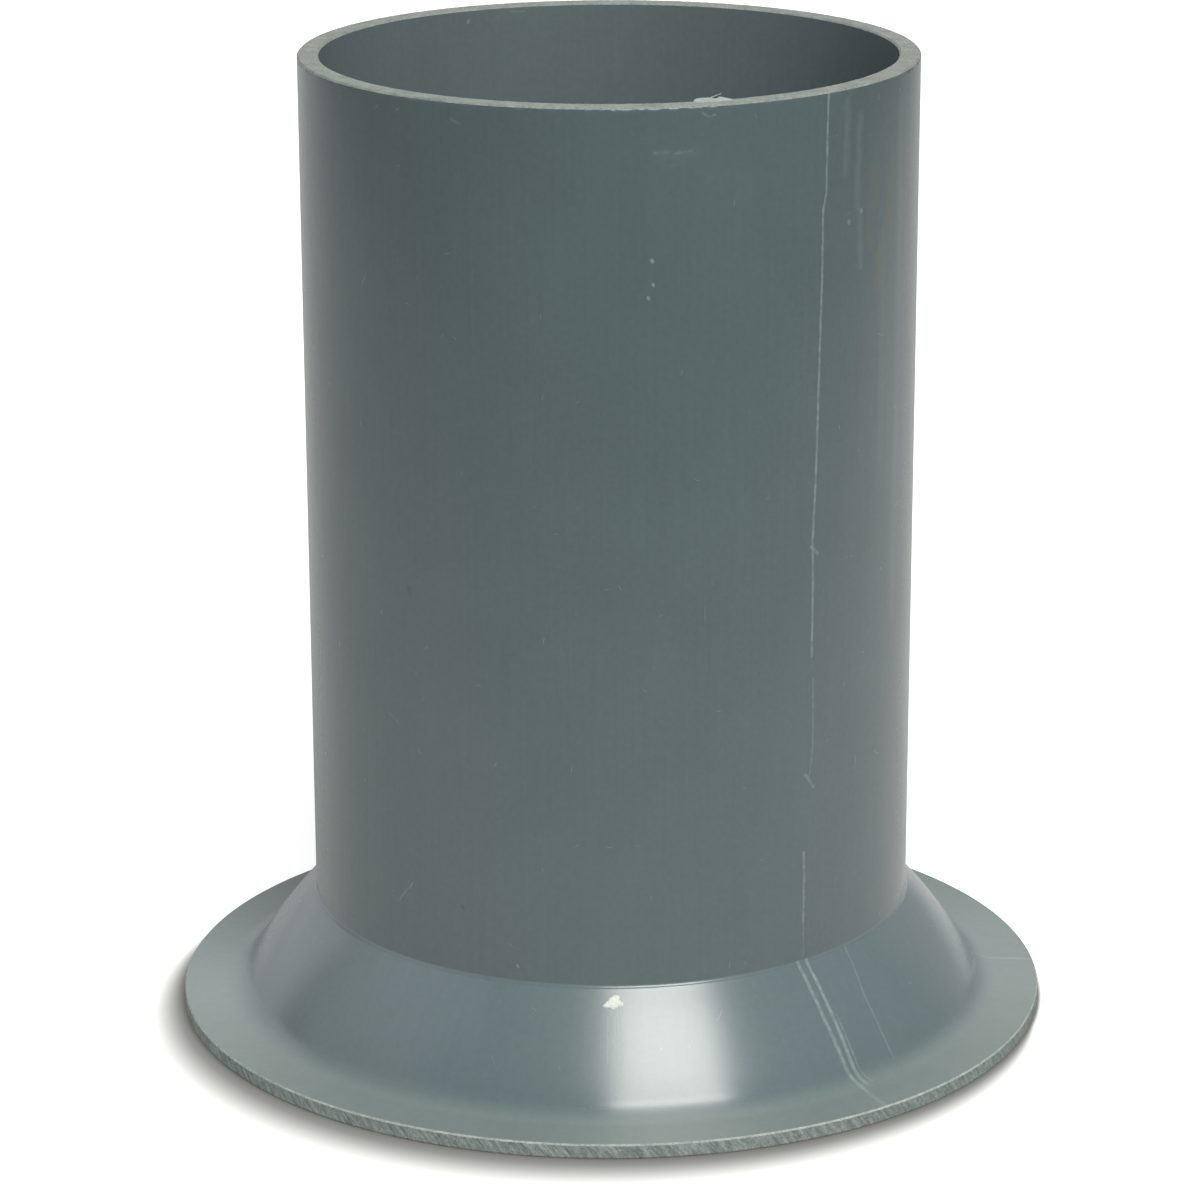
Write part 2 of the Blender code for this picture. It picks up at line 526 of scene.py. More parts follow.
def build_burr(sizes):
    """Mesh of the torn tab that the saw left: it lies on the rim's inner edge and hangs into the bore."""
    rim = sizes.height - sizes.burr_room
    bore = sizes.pipe_radius - sizes.pipe_wall
    root = bore + BURR_ROOT_WIDTH
    rings = []
    for step in range(BURR_STEPS + 1):
        azimuth, rise, reach = along_course(BURR_COURSE, step / BURR_STEPS)
        azimuth, rise, reach = math.radians(azimuth), rise * MM, reach * MM
        # Up the root in the rim, over the top to the tip in the bore, and back under
        section_points = [
            (root, rim - BURR_ROOT_DEPTH / 2), (root, rim - 0.05 * MM),
            (bore + BURR_ROOT_WIDTH / 2, rim + rise * 0.8), (bore, rim + rise),
            (bore - reach / 2, rim + rise * 0.9), (bore - reach, rim + rise * 0.5),
            (bore - reach * 0.9, rim - 0.25 * MM), (bore - reach / 3, rim - 0.45 * MM),
            (bore + 0.05 * MM, rim - BURR_ROOT_DEPTH),
        ]
        ring = []
        for radius, height in section_points:
            rough = BURR_ROUGHNESS * grain(around(azimuth, radius, height), BURR_GRAIN)
            ring.append(around(azimuth, radius + rough, min(height + rough, sizes.height)))
        rings.append(ring)
    return loft("saw_burr", rings)


def build_sliver(sizes):
    """Mesh of the thin sliver of swarf that curls off the burr."""
    rim = sizes.height - sizes.burr_room
    rings = []
    for step in range(SLIVER_STEPS + 1):
        share = step / SLIVER_STEPS
        azimuth, radius, rise = along_course(SLIVER_COURSE, share)
        centre = around(math.radians(azimuth), radius * MM, rim + rise * MM)
        thickness = SLIVER_THICKNESS * (1.0 - SLIVER_TAPER * share)
        ring = []
        for side in range(SLIVER_SIDES):
            turn = math.tau * side / SLIVER_SIDES
            away = Vector((0.0, math.cos(turn), SLIVER_FLATNESS * math.sin(turn)))
            point = centre + thickness / 2 * (1 + 0.4 * grain(centre, SLIVER_GRAIN)) * away
            ring.append(Vector((point.x, point.y, min(point.z, sizes.height))))
        rings.append(ring)
    return loft("swarf_sliver", rings)


# Materials

def new_material(name):
    """Plain material with its tree and its shader."""
    material = bpy.data.materials.new(name)
    material.use_nodes = True
    return material, material.node_tree, shader_of(material)


def shader_of(material):
    """Shader that a material's nodes lead to."""
    return material.node_tree.nodes["Principled BSDF"]


def unrolled(tree):
    """Socket of the place on the outer surface in mm: arc length at the pipe's radius, and path."""
    sizes = bpy.context.scene.stub_end_sizes
    radius = sizes.pipe_radius / MM
    spot = add(tree, "ShaderNodeTexCoord").outputs["Object"]
    parts = add(tree, "ShaderNodeSeparateXYZ", {0: spot}).outputs
    front = number(tree, "MULTIPLY", parts["Y"], -1.0)
    azimuth = number(tree, "ARCTAN2", parts["X"], front)
    arc = number(tree, "MULTIPLY", azimuth, radius)
    flat = add(tree, "ShaderNodeCombineXYZ", {"X": parts["X"], "Y": parts["Y"]}).outputs[0]
    reach = vector(tree, "LENGTH", flat)
    fall = number(tree, "SUBTRACT", parts["Z"], reach)
    path = number(tree, "MULTIPLY_ADD", fall, 1 / MM, radius)
    return add(tree, "ShaderNodeCombineXYZ", {"X": arc, "Y": path}).outputs[0]


def stroke_group():
    """Node group that marks a straight stroke between two places, soft at its sides."""
    group = bpy.data.node_groups.get("stroke")
    if group:
        return group
    group = bpy.data.node_groups.new("stroke", "ShaderNodeTree")
    face = group.interface
    for name in ("Place", "Start", "End"):
        face.new_socket(name=name, in_out="INPUT", socket_type="NodeSocketVector")
    for name in ("Half Width", "Strength"):
        face.new_socket(name=name, in_out="INPUT", socket_type="NodeSocketFloat")
    face.new_socket(name="Mark", in_out="OUTPUT", socket_type="NodeSocketFloat")

    ends = add(group, "NodeGroupInput").outputs
    from_start = vector(group, "SUBTRACT", ends["Place"], ends["Start"])
    run = vector(group, "SUBTRACT", ends["End"], ends["Start"])
    covered = vector(group, "DOT_PRODUCT", from_start, run)
    squared = vector(group, "DOT_PRODUCT", run, run)
    share = number(group, "DIVIDE", covered, squared, use_clamp=True)
    nearest = times(group, run, share)
    off = vector(group, "DISTANCE", from_start, nearest)
    mark = ranged(group, off, 0.0, ends["Half Width"], ends["Strength"], 0.0,
                  interpolation_type="SMOOTHSTEP")
    add(group, "NodeGroupOutput", {"Mark": mark})
    return group


def on_surface(place):
    """Place (azimuth in degrees, path in mm) as the unrolled coordinate that the strokes use."""
    radius = bpy.context.scene.stub_end_sizes.pipe_radius / MM
    azimuth, path = place
    return (math.radians(azimuth) * radius, path, 0.0)


def strokes(tree, place, marks):
    """Socket that is strong along every mark: a chain of places, its half width in mm, and its strength."""
    total = 0.0
    for chain, half_width, strength in marks:
        for start, end in zip(chain, chain[1:]):
            one = add(tree, "ShaderNodeGroup", {
                "Place": place, "Start": on_surface(start), "End": on_surface(end),
                "Half Width": half_width, "Strength": strength}, node_tree=stroke_group())
            total = number(tree, "MAXIMUM", one.outputs["Mark"], total)
    return total


def wandering(tree, place, amount, size):
    """The place moved by up to amount, in mm, by noise whose lumps are size mm across."""
    drift = add(tree, "ShaderNodeTexNoise", {"Vector": place, "Scale": 1 / size, "Detail": 2.0})
    centred = vector(tree, "SUBTRACT", drift.outputs["Color"], (0.5, 0.5, 0.5))
    shift = times(tree, centred, 2 * amount)
    return vector(tree, "ADD", place, shift)


def nicks(tree, place, cell, length, half_width, share):
    """Socket of short straight scratches, one at most in each cell of cell mm, lying every way."""
    scaled = times(tree, place, 1 / cell)
    cells = add(tree, "ShaderNodeTexVoronoi", {"Vector": scaled, "Scale": 1.0}, voronoi_dimensions="2D")
    local = vector(tree, "SUBTRACT", scaled, cells.outputs["Position"])
    chance = add(tree, "ShaderNodeSeparateColor", {0: cells.outputs["Color"]}).outputs
    turn = number(tree, "MULTIPLY", chance["Red"], math.pi)
    turned = add(tree, "ShaderNodeVectorRotate", {"Vector": local, "Angle": turn},
                 rotation_type="Z_AXIS").outputs[0]
    sides = add(tree, "ShaderNodeSeparateXYZ", {0: turned}).outputs
    along = number(tree, "ABSOLUTE", sides["X"])
    across = number(tree, "ABSOLUTE", sides["Y"])
    thin = ranged(tree, across, 0.0, half_width / cell, 1.0, 0.0)
    short = ranged(tree, along, 0.2 * length / cell, 0.5 * length / cell, 1.0, 0.0)
    there = number(tree, "LESS_THAN", chance["Green"], share)
    faint = number(tree, "MULTIPLY", there, chance["Blue"])
    line = number(tree, "MULTIPLY", thin, short)
    return number(tree, "MULTIPLY", line, faint)


# Refraction of PVC-U
PVC_IOR = 1.54

# Sizes in the skin, in mm: patches of uneven pigment and handling film, the grain that the die leaves, drawn
# a little coarse so that it shows, how long its streaks run on, and the paths between which the stretched
# plastic turns pale and dull
PATCH = 25.0
SKIN_GRAIN = 1.1
STREAK_LENGTH = 45.0
WHITENED_PATH = (-8.0, -15.0)
# How deep the streaks are, in mm
STREAK_DEPTH = 0.01

# Nicks from handling as (cell, length, half width, all in mm, and the share of the cells that have one)
LONG_NICKS = (11.0, 4.0, 0.15, 0.10)
SHORT_NICKS = (4.7, 1.4, 0.13, 0.16)

# Marks in the skin as (chain of places, half width in mm, strength); a place is (azimuth, path)
LONG_SCRATCH = [
    ([(42.0, 176.6), (41.8, 167.4), (41.7, 159.6), (41.0, 157.0), (40.9, 144.5)], 0.38, 0.45),
    ([(40.9, 144.5), (40.0, 110.2), (39.4, 99.2), (39.6, 92.0), (39.5, 78.0)], 0.40, 0.42),
    ([(39.9, 74.0), (40.1, 61.5), (39.2, 55.2)], 0.34, 0.18),
    ([(38.2, 42.0), (38.3, 34.4), (38.2, 29.0)], 0.42, 0.36),
    ([(38.2, 29.0), (38.4, 22.6)], 0.36, 0.13),
]
SCUFFS = [
    ([(39.1, 98.0), (40.6, 96.5)], 0.50, 0.35),
    ([(38.4, 56.5), (40.2, 54.0)], 0.55, 0.32),
    ([(16.4, 175.6), (17.4, 174.9), (18.6, 175.2)], 0.38, 0.16),
    ([(-41.0, 34.6), (-42.9, 32.3)], 0.30, 0.30),
    ([(-39.6, 36.2), (-40.4, 34.9)], 0.30, 0.24),
    ([(-28.4, 173.9), (-26.8, 173.2)], 0.50, 0.12),
    ([(7.8, 169.3), (10.5, 169.4)], 0.45, 0.06),
    ([(11.5, 169.1), (14.5, 169.5)], 0.50, 0.08),
    ([(9.0, 167.0), (12.0, 167.2)], 0.45, 0.05),
]
SPECKS = [
    ([(7.4, 151.2), (7.5, 151.0)], 0.50, 0.55),
    ([(7.6, 147.1), (7.7, 146.9)], 0.42, 0.42),
    ([(6.7, 144.9), (6.8, 144.7)], 0.45, 0.50),
    ([(51.2, 155.3), (51.3, 155.0)], 0.60, 0.24),
    ([(47.7, 154.0), (47.8, 153.7)], 0.60, 0.28),
    ([(-17.4, 24.5), (-17.2, 24.2)], 0.40, 0.50),
]
# Chalky rubs beside the scratch, wide and weak
RUBS = [
    ([(47.0, 174.5), (46.8, 162.0)], 1.5, 0.12),
    ([(50.5, 172.0), (50.0, 160.0), (51.5, 146.0)], 1.3, 0.12),
    ([(66.0, 172.0), (66.5, 130.0), (65.5, 80.0)], 2.5, 0.08),
    ([(58.8, 150.0), (59.2, 110.0)], 1.8, 0.07),
    ([(8.0, 168.6), (14.5, 169.0)], 1.6, 0.05),
]
BROWN_STAINS = [
    ([(55.4, 161.5), (56.0, 156.0)], 2.0, 0.30),
    ([(57.6, 147.0), (57.0, 141.5)], 2.4, 0.38),
    ([(53.6, 153.0), (54.4, 149.0)], 1.8, 0.25),
    ([(62.0, 166.0), (61.0, 150.0)], 2.6, 0.18),
]
DARK_SPOTS = [
    ([(-39.0, 90.8), (-38.8, 90.4)], 0.9, 0.45),
    ([(-28.4, 33.9), (-28.2, 33.6)], 0.8, 0.45),
]
BORE_MARKS = [
    ([(-149.3, 178.6), (-149.1, 178.3)], 0.50, 0.40),
    ([(-159.0, 179.7), (-162.0, 179.6)], 0.40, 0.12),
]
TOOL_LINES_AND_HIGHLIGHT_STREAKS = [
    ([(37.0, 22.0), (37.2, 6.6), (37.8, -8.7), (38.2, -13.7), (36.8, -21.8)], 0.55, 0.48),
    ([(39.0, 22.0), (39.1, -9.3), (39.4, -13.2)], 0.50, 0.58),
    ([(39.9, 6.0), (40.0, -9.0), (40.6, -13.0)], 0.30, 0.25),
    ([(49.4, 21.0), (47.3, 7.0), (47.2, -9.6)], 0.34, 0.22),
    ([(93.9, -10.2), (93.6, -16.1), (93.0, -21.9)], 0.70, 0.75),
    # The last three are painted highlight: fine pale streaks inside the skirt's highlight, where the real
    # lines only catch the key light
    ([(0.5, 15.5), (0.6, -6.0)], 0.24, 0.30),
    ([(1.5, 15.5), (1.6, -3.0)], 0.20, 0.24),
    ([(-0.6, 14.0), (-0.6, 2.0)], 0.18, 0.16),
]


def tinted(tree, base, place, marks, colour):
    """Base colour drawn towards another colour where the marks lie."""
    where = strokes(tree, place, marks)
    return blended(tree, where, base, (*colour, 1.0))


def skin(name, colour, roughness, marks, streak_width, streak_dullness, unevenness, nick_strength,
         stretch=None, tints=()):
    """PVC-U skin: faintly uneven grey with drawn streaks, nicks and marks.

    Streak width is in mm. Stretch is the paler colour and the loss of gloss where the plastic is stretched.
    """
    finish = bpy.context.scene.stub_end_finish
    material, tree, shader = new_material(name)
    place = unrolled(tree)
    spot = add(tree, "ShaderNodeTexCoord").outputs["Object"]

    patches = clouds(tree, spot, 1 / (PATCH * MM), 2.0, 0.6)
    speckle = clouds(tree, spot, 1 / (SKIN_GRAIN * MM), 2.0, 0.7)
    drawn = vector(tree, "MULTIPLY", place, (1 / streak_width, 1 / STREAK_LENGTH, 1.0))
    streaks = clouds(tree, drawn, 1.0, 2.0)
    level = number(tree, "MULTIPLY_ADD", streaks, 0.6, patches)
    level = number(tree, "MULTIPLY_ADD", speckle, 1.2, level)
    shade = ranged(tree, level, 0.9, 1.9, 1.0 - unevenness, 1.0 + unevenness)

    pigment = tuple(colour)
    dullness = roughness
    if stretch:
        stretched_colour, gloss_loss = stretch
        path = add(tree, "ShaderNodeSeparateXYZ", {0: place}).outputs["Y"]
        stretched = ranged(tree, path, *WHITENED_PATH, interpolation_type="SMOOTHSTEP")
        pigment = blended(tree, stretched, (*colour, 1.0), (*stretched_colour, 1.0))
        dullness = number(tree, "MULTIPLY_ADD", stretched, gloss_loss, roughness)
    base = times(tree, pigment, shade)

    uneven = wandering(tree, place, 0.12, 2.5)
    for tint_marks, tint in tints:
        base = tinted(tree, base, wandering(tree, place, 1.2, 4.0), tint_marks, tint)
    # The marks are scratches and wear, and on the formed skin also painted highlight streaks
    scratched = strokes(tree, uneven, marks)
    broken = ranged(tree, speckle, 0.35, 0.65, 0.45, 1.25)
    scratched = number(tree, "MULTIPLY", scratched, broken)
    long_nicks = nicks(tree, uneven, *LONG_NICKS)
    short_nicks = nicks(tree, uneven, *SHORT_NICKS)
    nicked = number(tree, "MAXIMUM", long_nicks, short_nicks)
    faint = number(tree, "MULTIPLY", nicked, nick_strength)
    wear_and_glints = number(tree, "MAXIMUM", scratched, faint, use_clamp=True)

    marked = blended(tree, wear_and_glints, base, (*finish.mark_colour, 1.0))
    tree.links.new(marked, shader.inputs["Base Color"])

    dulled = number(tree, "MULTIPLY_ADD", streaks, streak_dullness, dullness)
    dulled = number(tree, "MULTIPLY_ADD", wear_and_glints, 0.3, dulled, use_clamp=True)
    tree.links.new(dulled, shader.inputs["Roughness"])
    shader.inputs["IOR"].default_value = PVC_IOR

    relief = add(tree, "ShaderNodeBump", {"Height": streaks, "Strength": 0.2, "Distance": STREAK_DEPTH * MM})
    tree.links.new(relief.outputs[0], shader.inputs["Normal"])
    return material


def extruded_pvc():
    """Extruded PVC-U: the cooled die leaves a satin grey skin with lines drawn along the pipe."""
    finish = bpy.context.scene.stub_end_finish
    tints = ((RUBS, srgb("8E9997")), (BROWN_STAINS, srgb("6B6654")), (DARK_SPOTS, srgb("3C4446")))
    return skin("extruded_pvc_u", finish.pipe_colour, finish.pipe_roughness,
                LONG_SCRATCH + SCUFFS + SPECKS, streak_width=0.8, streak_dullness=0.03, unevenness=0.09,
                nick_strength=0.15, tints=tints)


# Rings that the turning tool leaves grow stronger between these paths, in mm, from the skirt to the flat
RING_PATH = (-3.0, -10.0)
RING_SPREAD = (0.35, 0.96)
QUARTER_TURN = 0.25
TOOL_SHEEN = 0.80


def formed_pvc():
    """Hot-formed PVC-U: glossy where it slid over the tool, whitened and duller where most stretched."""
    finish = bpy.context.scene.stub_end_finish
    material = skin("hot_formed_pvc_u", finish.formed_colour, finish.formed_roughness, TOOL_LINES_AND_HIGHLIGHT_STREAKS,
                    streak_width=1.6, streak_dullness=0.006, unevenness=0.07, nick_strength=0.08,
                    stretch=(finish.stretched_colour, 0.20))
    shader = shader_of(material)
    shader.inputs["Specular IOR Level"].default_value = TOOL_SHEEN
    # The rings spread the highlight towards the collar's edge, most on the flat
    tree = material.node_tree
    path = add(tree, "ShaderNodeSeparateXYZ", {0: unrolled(tree)}).outputs["Y"]
    rings = ranged(tree, path, *RING_PATH, *RING_SPREAD)
    round_axis = add(tree, "ShaderNodeTangent", direction_type="RADIAL", axis="Z").outputs[0]
    tree.links.new(rings, shader.inputs["Anisotropic"])
    tree.links.new(round_axis, shader.inputs["Tangent"])
    shader.inputs["Anisotropic Rotation"].default_value = QUARTER_TURN
    return material


def bore_pvc():
    """Inside skin down to the sealing face: as extruded, hardly handled, a little paler than outside, partly
    as painted light for the bounce inside the bore.
    """
    finish = bpy.context.scene.stub_end_finish
    return skin("bore_pvc_u", finish.bore_colour, finish.pipe_roughness, BORE_MARKS,
                streak_width=1.0, streak_dullness=0.03, unevenness=0.08, nick_strength=0.06)


# Scores on the collar's edge: they lean, and are this far apart and this long and deep, in mm
SCORE_LEAN = math.radians(-38)
SCORE_PITCH = 0.7
SCORE_LENGTH = 4.0
SCORE_DEPTH = 0.35
# The unrolled place is measured at the pipe's radius: at the collar's edge the same angle is a longer arc
EDGE_STRETCH = (1.45, 1.0, 1.0)
TORN_ROUGHNESS = 0.7


def torn(name, colour, dark_share, grit, depth):
    """Cut PVC-U: the saw tears the plastic into a dull, whitened grain, grit mm across and depth mm deep."""
    material, tree, shader = new_material(name)
    spot = add(tree, "ShaderNodeTexCoord").outputs["Object"]
    crumbs = clouds(tree, spot, 1 / (grit * MM), 4.0, 0.75)
    drifts = clouds(tree, spot, 1 / (6 * grit * MM), 2.0)
    level = number(tree, "MULTIPLY_ADD", drifts, 0.5, crumbs)
    shade = ranged(tree, level, 0.55, 0.95, 1.0 - dark_share, 1.0 + dark_share)
    base = times(tree, tuple(colour), shade)
    tree.links.new(base, shader.inputs["Base Color"])
    shader.inputs["Roughness"].default_value = TORN_ROUGHNESS
    shader.inputs["IOR"].default_value = PVC_IOR
    relief = add(tree, "ShaderNodeBump", {"Height": crumbs, "Strength": 1.0, "Distance": depth * MM})
    tree.links.new(relief.outputs[0], shader.inputs["Normal"])
    return material


def sawn_pvc():
    """Sawn end of the pipe: dry, chalky and pale."""
    finish = bpy.context.scene.stub_end_finish
    return torn("sawn_pvc_u", finish.sawn_colour, dark_share=0.30, grit=0.5, depth=0.25)


def trimmed_pvc():
    """Trimmed edge of the collar: slanting scores from the cutter, less whitened than the sawn end, with
    painted shade in their grooves.
    """
    finish = bpy.context.scene.stub_end_finish
    material = torn("trimmed_pvc_u", finish.edge_colour, dark_share=0.28, grit=0.6, depth=0.20)
    tree = material.node_tree
    shader = shader_of(material)
    place = vector(tree, "MULTIPLY", unrolled(tree), EDGE_STRETCH)
    leaning = add(tree, "ShaderNodeVectorRotate", {"Vector": place, "Angle": SCORE_LEAN},
                  rotation_type="Z_AXIS").outputs[0]
    long_way = vector(tree, "MULTIPLY", leaning, (1 / SCORE_PITCH, 1 / SCORE_LENGTH, 1.0))
    scores = clouds(tree, long_way, 1.0, 3.0, 0.65)
    # Painted shade: the edge is darker in the scores' grooves and paler on their ridges, after the same
    # pattern that their bump follows
    shade = ranged(tree, scores, 0.35, 0.65, 0.68, 1.25)
    crumbled = shader.inputs["Base Color"].links[0].from_socket
    scored_and_shaded = times(tree, crumbled, shade)
    tree.links.new(scored_and_shaded, shader.inputs["Base Color"])
    torn_normal = shader.inputs["Normal"].links[0].from_socket
    ridges = add(tree, "ShaderNodeBump", {"Height": scores, "Strength": 1.0, "Distance": SCORE_DEPTH * MM,
                                          "Normal": torn_normal})
    tree.links.new(ridges.outputs[0], shader.inputs["Normal"])
    return material


def arris_pvc():
    """Upper arris of the collar: a thin burr that the cutter turned up, whitened by bending."""
    return torn("arris_pvc_u", srgb("98A19E"), dark_share=0.35, grit=0.5, depth=0.1)


def burr_pvc():
    """Torn tab and swarf: stress-whitened plastic, paler than the sawn face."""
    return torn("torn_pvc_u", srgb("A0A7A3"), dark_share=0.18, grit=0.45, depth=0.15)


def chalk_fleck():
    """Fleck of filler and plastic dust: dry, nearly white."""
    return torn("chalky_fleck", srgb("D6DDD7"), dark_share=0.05, grit=0.5, depth=0.1)


# Pieces

def show(name, mesh, materials):
    """Link a mesh as a piece of the fitting that moves with its body."""
    for material in materials:
        mesh.materials.append(material)
    piece = bpy.data.objects.new(name, mesh)
    bpy.context.scene.collection.objects.link(piece)
    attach(piece, BODY)
    return piece


class STUBEND_OT_formed_pipe(Operator):
    """Build the pipe with its skirt and collar, and put it in place of the plain solid"""

    bl_idname = "stub_end.formed_pipe"
    bl_label = "Formed Pipe"

    def execute(self, context):
        mesh = build_body(context.scene.stub_end_sizes)
        finishes = [extruded_pvc(), formed_pvc(), sawn_pvc(), trimmed_pvc(), arris_pvc(), bore_pvc()]
        piece = show("formed_pipe", mesh, finishes)
        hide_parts(NODE)
        return {"FINISHED"}


class STUBEND_OT_saw_burr(Operator):
    """Add the burr that the saw left at the rim, with its sliver"""

    bl_idname = "stub_end.saw_burr"
    bl_label = "Saw Burr"

    def execute(self, context):
        sizes = context.scene.stub_end_sizes
        finish = burr_pvc()
        show("saw_burr", build_burr(sizes), [finish])
        show("swarf_sliver", build_sliver(sizes), [finish])
        return {"FINISHED"}


class STUBEND_OT_white_fleck(Operator):
    """Add the white fleck that sticks to the skirt under the lip"""

    bl_idname = "stub_end.white_fleck"
    bl_label = "White Fleck"

    def execute(self, context):
        show("white_fleck", build_fleck(context.scene.stub_end_sizes), [chalk_fleck()])
        return {"FINISHED"}


# Stage

LAMPS = [
    # name, azimuth and elevation in degrees, distance, width and height in metres, facing, watts
    ("key", 25, 51, 1.50, 0.79, 1.12, (0, 28), 25.3),
    ("overhead", 0, 88, 1.30, 1.90, 1.90, None, 3.0),
    ("back_left", -140, 18, 1.30, 0.90, 0.90, None, 1.6),
    ("back", 180, 20, 1.30, 0.90, 0.90, None, 1.9),
    ("back_right", 143, 18, 1.30, 0.90, 0.90, None, 0.45),
    ("left", -88, 30, 1.30, 1.00, 1.20, None, 0.95),
]
LAMP_TINTS = {"key": (1.0, 1.0, 0.94)}
# The overhead lamp stands for light that the whole ceiling gives back, too dim to show in the gloss
MATT_LAMPS = {"overhead"}
LAMP_AIM = Vector((0.0, 0.0, 0.07))

# The soft shadow is painted into the floor's colour: it reaches furthest towards the front, a little to the
# left, as a backdrop light would throw it
SHADE_AZIMUTH = -20
SHADE_MARGIN = 2 * MM
SHADE_LEAST = 1 * MM
SHADE_CORE = (0.150, 0.148, 0.142)
# Blue of the soft shadow as a share of its red: a touch warm
SHADE_BLUE = 0.985
# Grey at each share of the shadow's width
SHADE_STEPS = [(0.17, 0.22), (0.34, 0.36), (0.50, 0.53), (0.67, 0.71), (0.84, 0.87)]

CAMERA_PITCH = 0.2999
CAMERA_YAW = -0.0025
CAMERA_ROLL = 0.00324
LENS_MM = 128.52
SENSOR_MM = 36.0


def towards(azimuth, elevation):
    """Direction from the object at an azimuth and an elevation, both in degrees."""
    rise = math.radians(elevation)
    return around(math.radians(azimuth), math.cos(rise), math.sin(rise))


def add_lamp(name, azimuth, elevation, distance, width, height, facing, watts):
    """Soft rectangular lamp that the camera doesn't see; it faces the object, or stands as facing says."""
    data = bpy.data.lights.new(name, "AREA")
    data.shape = "RECTANGLE"
    data.size = width
    data.size_y = height
    data.energy = watts * bpy.context.scene.stub_end_stage.light_level
    data.color = LAMP_TINTS.get(name, (1.0, 1.0, 1.0))
    lamp = bpy.data.objects.new(name, data)
    away = towards(azimuth, elevation)
    lamp.location = LAMP_AIM + distance * away
    back = towards(*facing) if facing else away
    lamp.rotation_euler = back.to_track_quat("Z", "Y").to_euler()
    lamp.visible_camera = False
    lamp.visible_glossy = name not in MATT_LAMPS
    bpy.context.scene.collection.objects.link(lamp)


def contact_shade(tree, spot):
    """Socket of the floor's painted shadow: dark under the collar's edge, pale where the soft shadow ends."""
    stage = bpy.context.scene.stub_end_stage
    collar_radius = bpy.context.scene.stub_end_sizes.collar_radius
    reach = vector(tree, "LENGTH", spot)
    gap = number(tree, "SUBTRACT", reach, collar_radius)
    away = vector(tree, "NORMALIZE", spot)
    side = around(math.radians(SHADE_AZIMUTH), 1.0, 0.0)
    facing = vector(tree, "DOT_PRODUCT", away, side)
    width = number(tree, "MULTIPLY_ADD", facing, stage.shade_width - SHADE_MARGIN, SHADE_MARGIN)
    width = number(tree, "MAXIMUM", width, SHADE_LEAST)
    share = number(tree, "DIVIDE", gap, width, use_clamp=True)
    ramp = add(tree, "ShaderNodeValToRGB", {"Fac": share})
    first, last = ramp.color_ramp.elements
    first.color = (*SHADE_CORE, 1.0)
    last.color = (1.0, 1.0, 1.0, 1.0)
    for position, level in SHADE_STEPS:
        ramp.color_ramp.elements.new(position).color = (level, level, level * SHADE_BLUE, 1.0)
    return ramp.outputs["Color"]


# White paper lies under the object and far behind it; in front it ends near, and the dim room past it
# darkens the pipe's upper part
PAPER_CENTRE = (-0.13, 0.55, 0.0)
PAPER_INNER = 0.68
PAPER_OUTER = 1.05
PAPER_WHITE = 0.80
ROOM_FLOOR = 0.12
FLOOR_HALF = 3.0
FLOOR_DROP = 0.1 * MM


def add_floor():
    """Wide pale floor that the camera sees white up to the painted soft contact shadow."""
    grid = bmesh.new()
    bmesh.ops.create_grid(grid, x_segments=8, y_segments=8, size=FLOOR_HALF)
    mesh = bpy.data.meshes.new("studio_floor")
    grid.to_mesh(mesh)
    grid.free()
    material, tree, shader = new_material("white_paper_sweep")
    seen = add(tree, "ShaderNodeLightPath").outputs["Is Camera Ray"]
    spot = add(tree, "ShaderNodeTexCoord").outputs["Object"]
    shade = contact_shade(tree, spot)
    reach = vector(tree, "DISTANCE", spot, PAPER_CENTRE)
    table = ranged(tree, reach, PAPER_INNER, PAPER_OUTER, 1.0, ROOM_FLOOR)
    paper = times(tree, blended(tree, seen, table, shade), PAPER_WHITE)
    tree.links.new(paper, shader.inputs["Base Color"])
    shader.inputs["Roughness"].default_value = 0.9
    shader.inputs["Specular IOR Level"].default_value = 0.0
    lift = number(tree, "MULTIPLY", seen, bpy.context.scene.stub_end_stage.floor_lift)
    tree.links.new(shade, shader.inputs["Emission Color"])
    tree.links.new(lift, shader.inputs["Emission Strength"])
    mesh.materials.append(material)
    floor = bpy.data.objects.new("studio_floor", mesh)
    floor.location.z = -FLOOR_DROP
    bpy.context.scene.collection.objects.link(floor)


def light_room():
    """Dim grey room for the object, plain white for the camera."""
    stage = bpy.context.scene.stub_end_stage
    world = bpy.data.worlds.new("studio_room")
    world.use_nodes = True
    tree = world.node_tree
    seen = add(tree, "ShaderNodeLightPath").outputs["Is Camera Ray"]
    level = add(tree, "ShaderNodeMix", {"Factor": seen, "A": stage.room_level, "B": 1.0})
    background = tree.nodes["Background"]
    background.inputs["Color"].default_value = (1.0, 1.0, 1.0, 1.0)
    tree.links.new(level.outputs["Result"], background.inputs["Strength"])
    bpy.context.scene.world = world


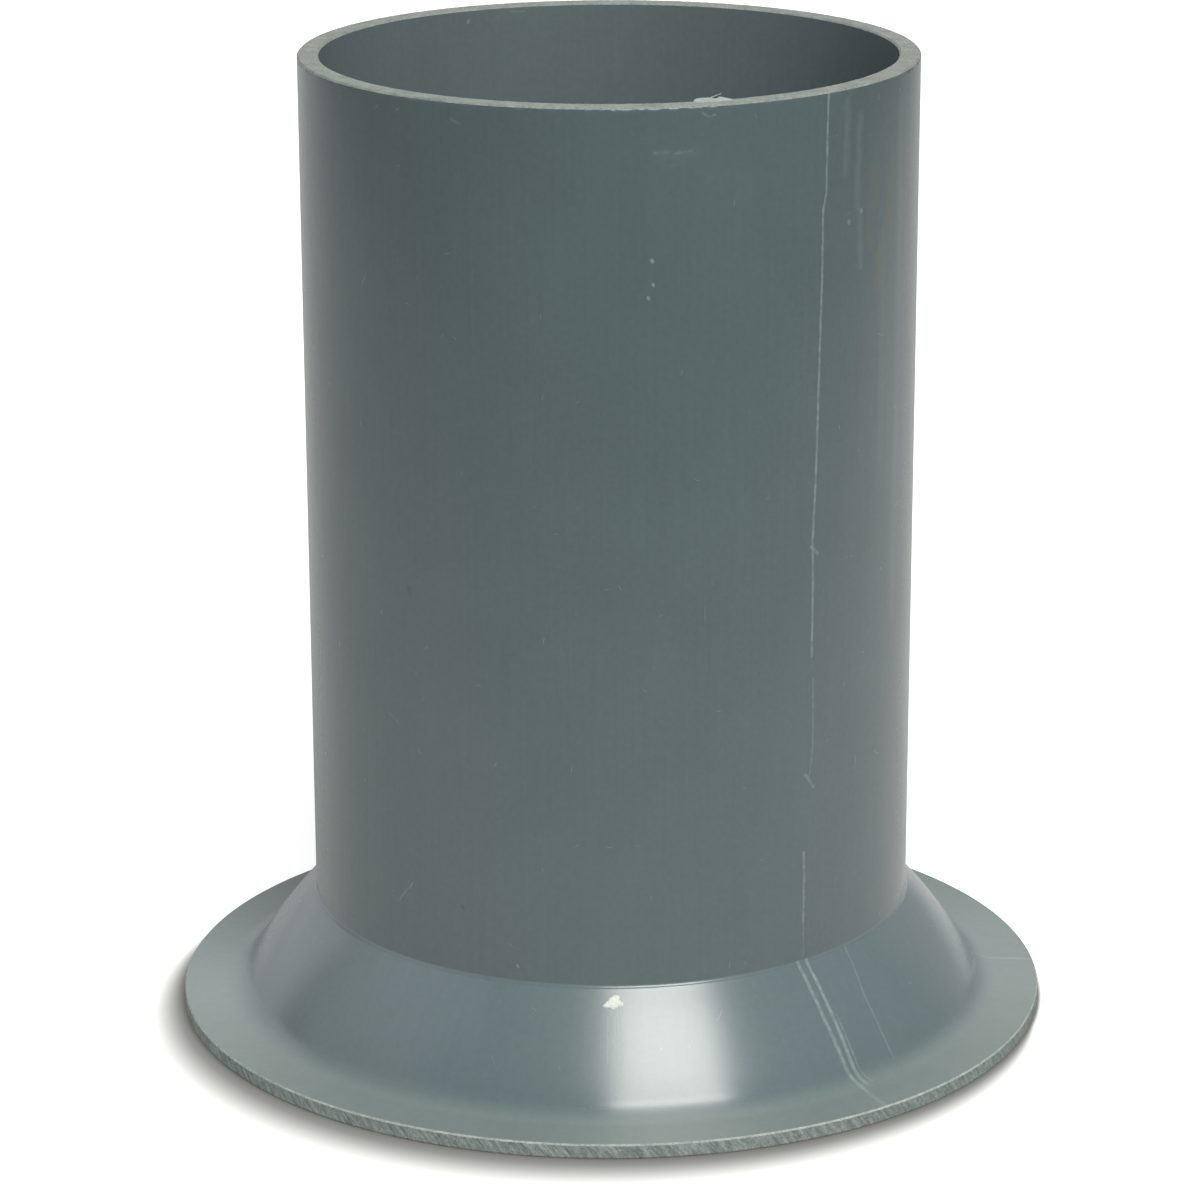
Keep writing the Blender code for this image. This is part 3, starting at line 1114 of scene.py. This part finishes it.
def add_camera():
    """Long lens, looking down about 17 degrees."""
    stage = bpy.context.scene.stub_end_stage
    data = bpy.data.cameras.new("camera")
    data.lens = LENS_MM
    data.sensor_width = SENSOR_MM
    camera = bpy.data.objects.new("camera", data)
    place = Matrix.Translation((0.0, -stage.camera_distance, stage.camera_height))
    turn = Matrix.Rotation(-CAMERA_YAW, 4, "Z")
    tip = Matrix.Rotation(UPRIGHT - CAMERA_PITCH, 4, "X")
    lean = Matrix.Rotation(-CAMERA_ROLL, 4, "Z")
    camera.matrix_world = place @ turn @ tip @ lean
    bpy.context.scene.collection.objects.link(camera)
    bpy.context.scene.camera = camera


class STUBEND_OT_stage(Operator):
    """Add the floor, the lamps, the room and the camera"""

    bl_idname = "stub_end.stage"
    bl_label = "Stage"

    def execute(self, context):
        add_floor()
        light_room()
        for lamp in LAMPS:
            add_lamp(*lamp)
        add_camera()
        context.scene.view_settings.view_transform = "Standard"
        return {"FINISHED"}


class STUBEND_PT_panel(Panel):
    """Sizes, finish and build steps of the stub end"""

    bl_idname = "STUBEND_PT_panel"
    bl_label = "Stub End"
    bl_space_type = "VIEW_3D"
    bl_region_type = "UI"
    bl_category = "Stub End"

    def draw(self, context):
        scene = context.scene
        for group in (scene.stub_end_sizes, scene.stub_end_finish, scene.stub_end_stage):
            box = self.layout.box()
            for name in type(group).__annotations__:
                box.prop(group, name)
        for step in STEPS:
            self.layout.operator(step.bl_idname)


STEPS = (STUBEND_OT_formed_pipe, STUBEND_OT_saw_burr, STUBEND_OT_white_fleck, STUBEND_OT_stage)
CLASSES = (StubEndSizes, StubEndFinish, StubEndStage, *STEPS, STUBEND_PT_panel)


def register():
    for cls in CLASSES:
        bpy.utils.register_class(cls)
    bpy.types.Scene.stub_end_sizes = PointerProperty(type=StubEndSizes)
    bpy.types.Scene.stub_end_finish = PointerProperty(type=StubEndFinish)
    bpy.types.Scene.stub_end_stage = PointerProperty(type=StubEndStage)


def unregister():
    del bpy.types.Scene.stub_end_stage
    del bpy.types.Scene.stub_end_finish
    del bpy.types.Scene.stub_end_sizes
    for cls in reversed(CLASSES):
        bpy.utils.unregister_class(cls)


def main():
    """Build every piece and the stage."""
    register()
    bpy.ops.stub_end.formed_pipe()
    bpy.ops.stub_end.saw_burr()
    bpy.ops.stub_end.white_fleck()
    bpy.ops.stub_end.stage()


if __name__ == "__main__":
    main()
